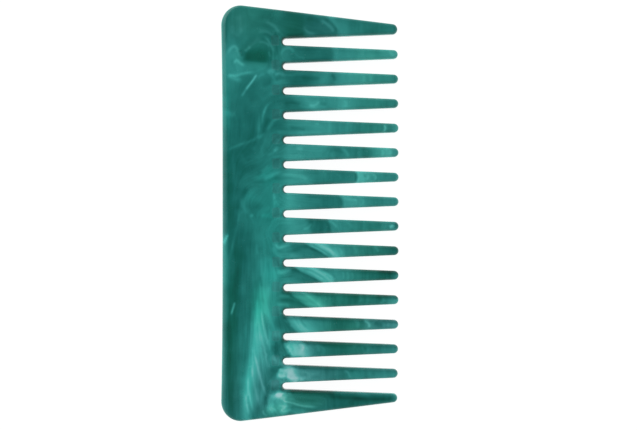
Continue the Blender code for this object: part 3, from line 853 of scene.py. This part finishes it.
# The grain's strength in tones, and what the pale fan and the roots of the teeth add to it
FINE_GRAIN = 2.3
FINE_GRAIN_IN_FAN = 2.8
FINE_GRAIN_AT_ROOTS = 1.6
BROAD_GRAIN = 2.8
BROAD_GRAIN_IN_FAN = 2.6
CALM_UPPER_END = 0.45  # the upper end has this share less of it
FAN_D = (13, 5)  # middle and spread
FAN_X = (-50, 24)
ROOTS_D = (24, 6)
UPPER_END_X = (25, 20)  # start and run
CLOUD = 2.0
CLOUD_SIZE = 1.2


def smooth_curve(points, per_span=8):
    """A Catmull-Rom curve through the points."""
    p = np.array(points, float)
    p = np.vstack([2 * p[0] - p[1], p, 2 * p[-1] - p[-2]])
    t = np.linspace(0, 1, per_span, endpoint=False)[:, None]
    runs = []
    for a, b, c, d in zip(p, p[1:], p[2:], p[3:]):
        bend = (2 * a - 5 * b + 4 * c - d) * t**2 + (3 * b - a - 3 * c + d) * t**3
        runs.append(0.5 * (2 * b + (c - a) * t + bend))
    runs.append(p[-2][None])
    return np.vstack(runs)


def blur(field, cells):
    """Gaussian blur; cells is its standard deviation in grid cells."""
    reach = int(3 * cells) + 1
    weights = np.exp(-0.5 * (np.arange(-reach, reach + 1) / cells) ** 2)
    weights /= weights.sum()
    for axis in (0, 1):
        padding = [(reach, reach) if i == axis else (0, 0) for i in (0, 1)]
        wide = np.pad(field, padding, mode="reflect")
        field = sum(
            weight * np.take(wide, range(i, i + field.shape[axis]), axis)
            for i, weight in enumerate(weights)
        )
    return field


def noise_field(seed, size):
    """Soft noise over the painting, whose blobs are about size millimetres wide."""
    noise = np.random.default_rng(seed).standard_normal(D.shape)
    return blur(noise, size / STEP) if size > 0 else noise


def drift(seed, size):
    """Soft noise with unit deviation."""
    field = noise_field(seed, size)
    return field / field.std()


def oval(d, x, radius_d, radius_x, sharpness=2, turn=0):
    """A soft oval, 1 in its middle; the higher its sharpness, the flatter its middle."""
    angle = math.radians(turn)
    along = (D - d) * math.cos(angle) + (X - x) * math.sin(angle)
    across = (X - x) * math.cos(angle) - (D - d) * math.sin(angle)
    return np.exp(-(np.hypot(along / radius_d, across / radius_x) ** sharpness))


def sample(field, row, column):
    """Bilinear reading of a field at fractional rows and columns."""
    row = np.clip(row, 0, field.shape[0] - 1.001)
    column = np.clip(column, 0, field.shape[1] - 1.001)
    r = row.astype(int)
    c = column.astype(int)
    down = row - r
    right = column - c
    upper = field[r, c] * (1 - right) + field[r, c + 1] * right
    lower = field[r + 1, c] * (1 - right) + field[r + 1, c + 1] * right
    return upper * (1 - down) + lower * down


class Canvas:
    """The marbling as fields over the upper face: tone, hue and the direction of its grain."""

    def __init__(self):
        self.tone = np.full(D.shape, BODY_TONE)
        self.hue = np.zeros(D.shape)
        self.green = np.zeros(D.shape)
        self.flow_cos = np.zeros(D.shape)  # of twice the angle, because grain has no sense
        self.flow_sin = np.zeros(D.shape)

    def around(self, points, reach):
        """The cells near a curve, with their distance to it, side of it, share of it and its angle."""
        curve = smooth_curve(points)
        low = (curve.min(0) - reach - (D_AXIS[0], X_AXIS[0])) / STEP
        high = (curve.max(0) + reach - (D_AXIS[0], X_AXIS[0])) / STEP + 2
        low = np.maximum(low, 0).astype(int)
        high = np.maximum(high, 0).astype(int)
        window = (slice(low[1], high[1]), slice(low[0], high[0]))
        d = D[window]
        x = X[window]
        nearest = np.full(d.shape, np.inf)
        side = np.zeros(d.shape)
        share = np.zeros(d.shape)
        angle = np.zeros(d.shape)
        spans = len(curve) - 1
        for i in range(spans):
            span = curve[i + 1] - curve[i]
            along = ((d - curve[i, 0]) * span[0] + (x - curve[i, 1]) * span[1]) / (span @ span)
            along = np.clip(along, 0, 1)
            off_d = d - curve[i, 0] - along * span[0]
            off_x = x - curve[i, 1] - along * span[1]
            squared = off_d**2 + off_x**2
            closer = squared < nearest
            nearest = np.where(closer, squared, nearest)
            side = np.where(closer, span[0] * off_x - span[1] * off_d, side)
            share = np.where(closer, (i + along) / spans, share)
            angle = np.where(closer, math.atan2(span[1], span[0]), angle)
        return window, np.sqrt(nearest), side, share, angle

    def follow(self, window, distance, angle, reach):
        """Turns the grain near a curve along it."""
        pull = bell(distance, 0, reach)
        self.flow_cos[window] += pull * np.cos(2 * angle)
        self.flow_sin[window] += pull * np.sin(2 * angle)

    def stroke(self, tone, hue, width, points, taper, reach):
        """A wisp that fades at both ends, and turns the grain near it."""
        left, right = width if isinstance(width, tuple) else (width, width)
        widest = max(TONE_REACH * max(left, right), FLOW_REACH * reach)
        window, distance, side, share, angle = self.around(points, widest)
        half_width = np.where(side > 0, left, right)
        ends = smoothstep(np.minimum(share, 1 - share) / taper)
        strength = ends * bell(distance, 0, half_width)
        self.tone[window] += tone * strength
        self.hue[window] += hue * strength
        self.follow(window, distance, angle, reach)

    def flow_line(self, points, reach):
        """A curve that turns the grain and paints nothing."""
        window, distance, _, _, angle = self.around(points, FLOW_REACH * reach)
        self.follow(window, distance, angle, reach)

    def teeth(self):
        """The teeth's own tones, in bands that cross each tooth."""
        mid = (TOOTH_COUNT - 1) / 2
        order = mid - (X - ROW_OFFSET / MM) / (PITCH / MM)
        nearest = np.clip(np.round(order), 0, TOOTH_COUNT - 1).astype(int)
        share = rise(D, FULL_TOOTH_D - TOOTH_BLEND, TOOTH_BLEND)
        bowing = BAND_BOW * rise(D, BAND_BOW_D, BAND_BOW_RISE)
        for k, (slant, place, tones) in enumerate(TEETH):
            off = X - ((mid - k) * PITCH + ROW_OFFSET) / MM
            past = np.clip(np.abs(D - place) - SLANT_SPAN, 0, None)
            slanting = np.exp(-(past**2) / SLANT_FADE)
            bowed = bowing * np.clip(off, -BAND_BOW_SPAN, BAND_BOW_SPAN) ** 2
            ds, values = zip(*tones)
            band = np.interp(D + slant * off * slanting + bowed, ds, values)
            self.tone = np.where(nearest == k, self.tone + (band - self.tone) * share, self.tone)

    def grain(self, angle, size, length, seed):
        """Noise smeared along the grain's direction, with unit deviation."""
        noise = noise_field(seed, size)
        rows, columns = np.indices(D.shape).astype(float)
        cos = np.cos(angle)
        sin = np.sin(angle)
        total = noise.copy()
        steps = round(length / 2 / STEP)
        for way in (1, -1):
            row = rows.copy()
            column = columns.copy()
            step_column = cos * way
            step_row = sin * way
            for i in range(steps):
                column += step_column
                row += step_row
                total += sample(noise, row, column) * (1 - i / steps)
                next_cos = sample(cos, row, column)
                next_sin = sample(sin, row, column)
                flip = np.where(next_cos * step_column + next_sin * step_row < 0, -1.0, 1.0)
                length_now = np.maximum(np.hypot(next_cos, next_sin), TINY)
                step_column = next_cos * flip / length_now
                step_row = next_sin * flip / length_now
        return (total - total.mean()) / total.std()


def paint_marbling():
    """The whole painting: patches, wisps, teeth and the grain between them."""
    canvas = Canvas()
    for tone, hue, *place in PATCHES:
        strength = oval(*place)
        canvas.tone += tone * strength
        canvas.hue += hue * strength
    for amount, *place in GREENER:
        canvas.green += amount * oval(*place, sharpness=3)
    for stroke in STROKES:
        canvas.stroke(*stroke, **WISP)
    canvas.teeth()
    for stroke in TOOTH_STROKES:
        canvas.stroke(*stroke, **TOOTH_WISP)
    for points in FLOW_LINES:
        canvas.flow_line(points, reach=FLOW_LINE_REACH)
    # away from every curve the grain runs towards the tips, but it crosses the outer halves of the teeth
    across_teeth = CROSSING_PULL * rise(D, *OUTER_TEETH)
    cos = blur(canvas.flow_cos + TIPWARD_PULL - across_teeth, FLOW_BLUR)
    angle = 0.5 * np.arctan2(blur(canvas.flow_sin, FLOW_BLUR), cos)
    fine = canvas.grain(angle, size=0, length=9, seed=3)
    broad = canvas.grain(angle, size=0.5, length=14, seed=5)
    fan = bell(D, *FAN_D) * bell(X, *FAN_X)
    calm = 1 - CALM_UPPER_END * rise(X, *UPPER_END_X)
    fine *= FINE_GRAIN + FINE_GRAIN_IN_FAN * fan + FINE_GRAIN_AT_ROOTS * bell(D, *ROOTS_D)
    broad *= BROAD_GRAIN + BROAD_GRAIN_IN_FAN * fan
    canvas.tone += (fine + broad) * calm
    canvas.tone += drift(8, CLOUD_SIZE) * CLOUD
    return canvas


def store(mesh, name, values):
    """Keeps a value for each of the mesh's vertices, under a name that its material reads."""
    attribute = mesh.attributes.new(name, "FLOAT", "POINT")
    attribute.data.foreach_set("value", values.astype(np.float32))


# The sheet was marbled a little tighter than drawn, and slid a hair before it was cut
MARBLING_SCALE = 1.0045
MARBLING_SHIFT_X = 0.06
MARBLING_SHIFT_D = -0.10

# How far the marbling wanders between the upper face and the underside, and over how many millimetres
WANDER = 2.2
WANDER_SIZE = 3.5

# A pair below is a step's start and run, or a bell's middle and spread, in millimetres
# along the comb (x) or from its back edge (d).

# The pale pools at the lower roots have ragged, feathered rims
POOLS_X = (-44, -4)
POOLS_D = (22.5, 5.5)
RAG = 0.5
RAG_ALONG = 0.6  # as much of it along the comb
RAG_SIZE_ALONG = 0.7
RAG_SIZE_ACROSS = 0.5

# The teeth are a trace lighter and greyer than the spine
TEETH_START_D = (19, 3)
TEETH_TONE = 1.2
TEETH_HUE = 0.20
SPINE_HUE = -0.11
SPINE_GREEN = -0.25
# A painted glow tints the thin back edge emerald, as if light came through it
BACK_EDGE_GLOW_HUE = -0.3
BACK_EDGE_D = (1.8, 1.2)
BACK_EDGE_TOP_X = (50, -20)
BACK_EDGE_END_X = (-60, 10)
HUE_LIMITS = (-1.2, 1.5)

# Painted light: a glow lightens the steep rounding of the thin outer edge, as if light came out through it,
# and painted shade darkens and greys the walls of the gaps
PAINTED_EDGE_GLOW = 45.0
EDGE_GLOW_HUE = -0.8
EDGE_GLOW_FLATTEST = (0.55, -0.35)  # steps over how far the surface faces up
EDGE_GLOW_STEEPEST = (0.1, 0.1)
PAINTED_WALL_SHADE = 52.0
WALL_SHADE_HUE = 0.6
WALL_SHADE_DEPTH = (1.2, 0.8, 0.6)  # how far in it shows: upper walls, lower walls, gap bottoms
WALL_SHARPNESS = 1.6
UPPER_WALL_SHADE = 0.15
UPPER_WALL_SHADE_X = (42, -4)
LOWER_END_WALL_SHADE = 0.85  # added on the upper walls of the lower teeth
LOWER_END_WALL_SHADE_X = -15
LOWER_END_WALL_SHADE_RUN = -22
LOWER_END_WALL_SHADE_LEAN = 0.5  # it sets in this much further up for each millimetre
LOWER_END_WALL_SHADE_LEAN_D = 33  # beyond this place
WALL_SHADE_FADE = 0.55
WALL_SHADE_FADE_D = (30, 14)
TIP_WALL_SHADE = 0.5
TIP_WALL_SHADE_D = (54, 6)
TIP_WALL_SHADE_X = (-30, 13)
BARE_TOOTH_X = (-60, -4)  # the last tooth shows none on its outer half
BARE_TOOTH_D = (38, 6)
LOWER_WALL_SHADE = 0.22
LOWER_WALL_SHADE_X = (-20, 30)
GAP_END_SHADE = 0.85
GAP_END_FACING = (0.3, 1.1)
GAP_END_D = (30, -7)


def nearest_edge(x, y):
    """For each place: its distance from the outline in millimetres, and which way the edge there faces."""
    edge = outline()
    edge_y = edge[:, 1] + bow(edge[:, 0])
    tree = tree_of(list(zip(edge[:, 0], edge_y)))
    found = [tree.find((*place, 0))[1] for place in zip(x, y)]
    near = edge[found]
    across = (near[:, 0] - x) * near[:, 2] + (edge_y[found] - y) * near[:, 3]
    return across / MM, near[:, 2], near[:, 3]


def read_marbling(x_mm, d_mm, depth):
    """The painted tone, hue and green at each place; the marbling drifts sideways with the depth."""
    canvas = paint_marbling()
    row = (MARBLING_SCALE * x_mm + MARBLING_SHIFT_X - X_AXIS[0]) / STEP
    column = (MARBLING_SCALE * d_mm + MARBLING_SHIFT_D - D_AXIS[0]) / STEP
    shift = WANDER / STEP * depth
    moved_row = row + shift * sample(drift(21, WANDER_SIZE), row, column)
    moved_column = column + shift * sample(drift(22, WANDER_SIZE), row, column)
    ragged = RAG / STEP * rise(x_mm, *POOLS_X) * bell(d_mm, *POOLS_D)
    moved_row += RAG_ALONG * ragged * sample(drift(23, RAG_SIZE_ALONG), row, column)
    moved_column += ragged * sample(drift(24, RAG_SIZE_ACROSS), row, column)
    return [sample(field, moved_row, moved_column) for field in (canvas.tone, canvas.hue, canvas.green)]


def wall_shade_share(x_mm, d_mm, inside, out_x, out_y):
    """How much painted shade darkens the walls of the gaps, from 0 to 1: most on the lower teeth's upper
    flanks.
    """
    upper_depth, lower_depth, end_depth = WALL_SHADE_DEPTH
    # it fades halfway along the teeth and comes back at the tips of the lower ones
    fade = 1 - WALL_SHADE_FADE * rise(d_mm, *WALL_SHADE_FADE_D)
    start = LOWER_END_WALL_SHADE_X + LOWER_END_WALL_SHADE_LEAN * np.maximum(d_mm - LOWER_END_WALL_SHADE_LEAN_D, 0)
    upper = UPPER_WALL_SHADE * rise(x_mm, *UPPER_WALL_SHADE_X) + LOWER_END_WALL_SHADE * rise(x_mm, start, LOWER_END_WALL_SHADE_RUN)
    upper *= fade + TIP_WALL_SHADE * rise(d_mm, *TIP_WALL_SHADE_D) * bell(x_mm, *TIP_WALL_SHADE_X)
    upper *= 1 - rise(x_mm, *BARE_TOOTH_X) * rise(d_mm, *BARE_TOOTH_D)
    upper *= smoothstep(WALL_SHARPNESS * out_x) * bell(inside, 0, upper_depth)
    lower = LOWER_WALL_SHADE * fade * rise(x_mm, *LOWER_WALL_SHADE_X)
    lower *= smoothstep(-WALL_SHARPNESS * out_x) * bell(inside, 0, lower_depth)
    facing, sharpness = GAP_END_FACING
    gap_end = GAP_END_SHADE * smoothstep(facing - sharpness * out_y) * rise(d_mm, *GAP_END_D)
    gap_end *= bell(inside, 0, end_depth)
    return np.maximum(np.maximum(upper, lower), gap_end)


def marble(mesh):
    """Stores the marbling in the mesh, with a painted glow in its edges and painted shade on the walls of
    its gaps.
    """
    flat = np.zeros(len(mesh.vertices) * 3)
    mesh.vertices.foreach_get("co", flat)
    x, y, z = flat.reshape(-1, 3).T
    x_mm = x / MM
    d_mm = (BACK_Y - y) / MM
    height = top_height(y - bow(x))
    tone, hue, green = read_marbling(x_mm, d_mm, smoothstep(1 - z / height))
    mark = mark_share(x, y - bow(x)) * (z > 0.5 * height)

    toothed = rise(d_mm, *TEETH_START_D)
    tone += TEETH_TONE * toothed
    hue += TEETH_HUE * toothed + SPINE_HUE
    back_edge_glow = bell(d_mm, *BACK_EDGE_D) * rise(x_mm, *BACK_EDGE_TOP_X) * rise(x_mm, *BACK_EDGE_END_X)
    hue += BACK_EDGE_GLOW_HUE * back_edge_glow
    green += SPINE_GREEN * (1 - toothed)

    normals = np.zeros(len(mesh.vertices) * 3)
    mesh.vertex_normals.foreach_get("vector", normals)
    facing_up = normals.reshape(-1, 3)[:, 2]
    # painted shade: the walls of the gaps and their roundings are darkened and greyed
    wall_shade = toothed * wall_shade_share(x_mm, d_mm, *nearest_edge(x, y))
    # painted glow: the steep part of the upper rounding is lightened and turned emerald, as if lit through
    # the edge
    edge_glow = rise(facing_up, *EDGE_GLOW_FLATTEST) * rise(facing_up, *EDGE_GLOW_STEEPEST) * (1 - wall_shade)
    tone += PAINTED_EDGE_GLOW * edge_glow - PAINTED_WALL_SHADE * wall_shade
    hue = np.clip(hue, *HUE_LIMITS) + EDGE_GLOW_HUE * edge_glow + WALL_SHADE_HUE * wall_shade
    store(mesh, "tone", tone / WHITE_TONE)
    store(mesh, "hue", hue)
    store(mesh, "green", green)
    store(mesh, "mark", mark)


# ---------------------------------------------------------------- materials

# Colours of the plastic along its tones, linear
PLASTIC_COLOURS = [
    (40, (0.0027, 0.076, 0.057)),
    (65, (0.0071, 0.160, 0.128)),
    (75, (0.0121, 0.193, 0.169)),
    (85, (0.0197, 0.243, 0.215)),
    (95, (0.0294, 0.305, 0.273)),
    (107, (0.0423, 0.381, 0.345)),
    (122, (0.0647, 0.488, 0.440)),
    (140, (0.0952, 0.636, 0.571)),
    (160, (0.2197, 0.788, 0.733)),
    (195, (0.4327, 0.940, 0.940)),
]
WHITE_TONE = 255
# What a hue of 1 does to the colour's red and green, and a green of 1 to its blue
HUE_TO_RED = 0.36
HUE_TO_GREEN = -0.05
GREEN_TO_BLUE = -0.08
# Fine feathering and haze inside the painted swirls: lightness, and noise scale per metre
FEATHER = 0.035
FEATHER_SCALE = 420.0
HAZE = 0.03
HAZE_SCALE = 90.0
# The gloss, with its slow unevenness
GLOSS_ROUGHNESS = 0.20
WEAR = 0.12
WEAR_SCALE = 160.0
SWELL_SCALE = 55.0
BUMP_STRENGTH = 0.25
BUMP_HEIGHT = 0.25 * MM
# The mould marks are darker, greyer, duller and gritty
MARK_TONE = -0.02
MARK_HUE = 0.6
MARK_ROUGHNESS = 0.12
MARK_GRIT = 0.15
GRIT_SCALE = 2600.0
PLASTIC_IOR = 1.5
PLASTIC_SPECULAR = 0.42

FLOOR_COLOUR = (0.15, 0.15, 0.15, 1.0)
FLOOR_ROUGHNESS = 0.9
FLOOR_SPECULAR = 0.1
FLOOR_GLOW = 0.95
WHITE = (1.0, 1.0, 1.0, 1.0)


class NodeGraph:
    """Short ways to add and join shader nodes."""

    def __init__(self, tree):
        self.tree = tree
        tree.nodes.clear()

    def add(self, kind, **settings):
        node = self.tree.nodes.new(kind)
        for name, value in settings.items():
            setattr(node, name, value)
        return node

    def set(self, socket, value):
        if isinstance(value, bpy.types.NodeSocket):
            self.tree.links.new(value, socket)
        else:
            socket.default_value = value

    def attribute(self, name):
        return self.add("ShaderNodeAttribute", attribute_name=name).outputs["Fac"]

    def math(self, operation, a, b=0.0, c=0.0):
        node = self.add("ShaderNodeMath", operation=operation)
        for socket, value in zip(node.inputs, (a, b, c)):
            self.set(socket, value)
        return node.outputs[0]

    def noise(self, position, scale, detail=4.0, roughness=0.5, distortion=0.0):
        node = self.add("ShaderNodeTexNoise")
        self.set(node.inputs["Vector"], position)
        self.set(node.inputs["Scale"], scale)
        self.set(node.inputs["Detail"], detail)
        self.set(node.inputs["Roughness"], roughness)
        self.set(node.inputs["Distortion"], distortion)
        return node.outputs["Fac"]

    def ramp(self, factor, stops):
        node = self.add("ShaderNodeValToRGB")
        elements = node.color_ramp.elements
        while len(elements) < len(stops):
            elements.new(0.5)
        for element, (position, colour) in zip(elements, stops):
            element.position = position
            element.color = (*colour, 1.0)
        self.set(node.inputs["Fac"], factor)
        return node.outputs["Color"]


def make_plastic():
    """The marbled plastic, from the tone, hue, green and mark that its mesh stores."""
    material = bpy.data.materials.new("marbled_plastic")
    material.use_nodes = True
    graph = NodeGraph(material.node_tree)
    position = graph.add("ShaderNodeTexCoord").outputs["Object"]
    tone = graph.attribute("tone")
    hue = graph.attribute("hue")
    green = graph.attribute("green")
    mark = graph.attribute("mark")

    feather = graph.noise(position, FEATHER_SCALE, detail=5.0, roughness=0.6, distortion=1.2)
    haze = graph.noise(position, HAZE_SCALE, detail=3.0, distortion=0.6)
    tone = graph.math("MULTIPLY_ADD", graph.math("SUBTRACT", feather, 0.5), FEATHER, tone)
    tone = graph.math("MULTIPLY_ADD", graph.math("SUBTRACT", haze, 0.5), HAZE, tone)
    tone = graph.math("MULTIPLY_ADD", mark, MARK_TONE, tone)
    body = graph.ramp(tone, [(at / WHITE_TONE, colour) for at, colour in PLASTIC_COLOURS])

    # lilac-grey or emerald casts
    hue = graph.math("MULTIPLY_ADD", mark, MARK_HUE, hue)
    tint = graph.add("ShaderNodeCombineXYZ")
    graph.set(tint.inputs["X"], graph.math("MULTIPLY_ADD", hue, HUE_TO_RED, 1.0))
    graph.set(tint.inputs["Y"], graph.math("MULTIPLY_ADD", hue, HUE_TO_GREEN, 1.0))
    graph.set(tint.inputs["Z"], graph.math("MULTIPLY_ADD", green, GREEN_TO_BLUE, 1.0))
    tinted = graph.add("ShaderNodeVectorMath", operation="MULTIPLY")
    graph.set(tinted.inputs[0], body)
    graph.set(tinted.inputs[1], tint.outputs[0])

    # a tumbled gloss, duller in the mould marks
    wear = graph.noise(position, WEAR_SCALE, detail=4.0, roughness=0.6)
    roughness = graph.math("MULTIPLY_ADD", wear, WEAR, GLOSS_ROUGHNESS)
    roughness = graph.math("MULTIPLY_ADD", mark, MARK_ROUGHNESS, roughness)
    swell = graph.noise(position, SWELL_SCALE, detail=2.0)
    grit = graph.math("MULTIPLY", graph.noise(position, GRIT_SCALE, detail=2.0), mark)
    relief = graph.math("MULTIPLY_ADD", grit, MARK_GRIT, swell)
    bump = graph.add("ShaderNodeBump")
    graph.set(bump.inputs["Strength"], BUMP_STRENGTH)
    graph.set(bump.inputs["Distance"], BUMP_HEIGHT)
    graph.set(bump.inputs["Height"], relief)

    shader = graph.add("ShaderNodeBsdfPrincipled")
    graph.set(shader.inputs["Base Color"], tinted.outputs[0])
    graph.set(shader.inputs["Roughness"], roughness)
    graph.set(shader.inputs["IOR"], PLASTIC_IOR)
    graph.set(shader.inputs["Specular IOR Level"], PLASTIC_SPECULAR)
    graph.set(shader.inputs["Normal"], bump.outputs["Normal"])
    output = graph.add("ShaderNodeOutputMaterial")
    graph.set(output.inputs["Surface"], shader.outputs[0])
    return material


def make_floor_material():
    material = bpy.data.materials.new("floor_paper")
    material.use_nodes = True
    shader = material.node_tree.nodes["Principled BSDF"]
    shader.inputs["Base Color"].default_value = FLOOR_COLOUR
    shader.inputs["Roughness"].default_value = FLOOR_ROUGHNESS
    shader.inputs["Specular IOR Level"].default_value = FLOOR_SPECULAR
    shader.inputs["Emission Color"].default_value = WHITE
    shader.inputs["Emission Strength"].default_value = FLOOR_GLOW
    return material


# ---------------------------------------------------------------- stage

FLOOR_SIZE = 3.0
FLOOR_GAP = 0.05 * MM

# The key light, a square softbox that faces the comb
KEY_COMPASS = math.radians(45)  # 0 is +X, a right angle is +Y
KEY_RISE = math.radians(28)  # above the horizon
KEY_DISTANCE = 1.4
KEY_SIZE = 1.4
KEY_POWER = 8.2
ZENITH_LIGHT = 0.02
HORIZON_LIGHT = 1.37
DARK_ZENITH = 0.17  # the dome is at its dimmest within this angle of the zenith
LIGHT_FROM_BACK = -0.12  # the dome is dimmer at the back, and brighter at the front

CAMERA_HEIGHT = 0.503
CAMERA_LENS = 78.21
CAMERA_CLIP_START = 0.01
CAMERA_OFFSET = (-0.64 * MM, -3.11 * MM)


def add_object(name, data):
    thing = bpy.data.objects.new(name, data)
    bpy.context.scene.collection.objects.link(thing)
    return thing


def make_floor():
    mesh = bpy.data.meshes.new("floor")
    half = FLOOR_SIZE / 2
    corners = [(-half, -half, 0), (half, -half, 0), (half, half, 0), (-half, half, 0)]
    mesh.from_pydata(corners, [], [(0, 1, 2, 3)])
    mesh.materials.append(make_floor_material())
    floor = add_object("floor", mesh)
    floor.location.z = cad_low.z - FLOOR_GAP


def make_key_light():
    light = bpy.data.lights.new("key", "AREA")
    light.shape = "RECTANGLE"
    light.size = KEY_SIZE
    light.size_y = KEY_SIZE
    light.energy = KEY_POWER
    key = add_object("key", light)
    level = KEY_DISTANCE * math.cos(KEY_RISE)
    height = KEY_DISTANCE * math.sin(KEY_RISE)
    key.location = (level * math.cos(KEY_COMPASS), level * math.sin(KEY_COMPASS), height)
    key.rotation_euler = (-key.location).to_track_quat("-Z", "Y").to_euler()


def make_world():
    """A soft studio dome: dim overhead, so that the glossy face stays clear, and bright at the sides."""
    world = bpy.data.worlds.new("studio")
    bpy.context.scene.world = world
    world.use_nodes = True
    graph = NodeGraph(world.node_tree)
    direction = graph.add("ShaderNodeTexCoord").outputs["Generated"]
    split = graph.add("ShaderNodeSeparateXYZ")
    graph.set(split.inputs[0], direction)
    level = graph.add("ShaderNodeMapRange")
    graph.set(level.inputs["Value"], graph.math("ARCCOSINE", split.outputs["Z"]))
    graph.set(level.inputs["From Min"], DARK_ZENITH)
    graph.set(level.inputs["From Max"], math.pi / 2)
    graph.set(level.inputs["To Min"], ZENITH_LIGHT)
    graph.set(level.inputs["To Max"], HORIZON_LIGHT)
    sides = graph.math("MULTIPLY_ADD", split.outputs["Y"], LIGHT_FROM_BACK, 1.0)
    background = graph.add("ShaderNodeBackground")
    graph.set(background.inputs["Strength"], graph.math("MULTIPLY", level.outputs["Result"], sides))
    output = graph.add("ShaderNodeOutputWorld")
    graph.set(output.inputs["Surface"], background.outputs[0])


def make_camera():
    """Straight above the comb, which stands on one end in the picture with its spine to the left."""
    camera = add_object("camera", bpy.data.cameras.new("camera"))
    camera.data.lens = CAMERA_LENS
    camera.data.clip_start = CAMERA_CLIP_START
    centre = (cad_low + cad_high) / 2
    camera.location = (centre.x + CAMERA_OFFSET[0], centre.y + CAMERA_OFFSET[1], CAMERA_HEIGHT)
    camera.rotation_euler = (0.0, 0.0, -math.pi / 2)
    bpy.context.scene.camera = camera


# ---------------------------------------------------------------- the scene

mesh = make_mesh()
marble(mesh)
mesh.materials.append(make_plastic())
comb = add_object("comb_visual", mesh)
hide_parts("comb")
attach(comb, "root")

make_floor()
make_world()
make_key_light()
make_camera()
bpy.context.scene.view_settings.view_transform = "Standard"
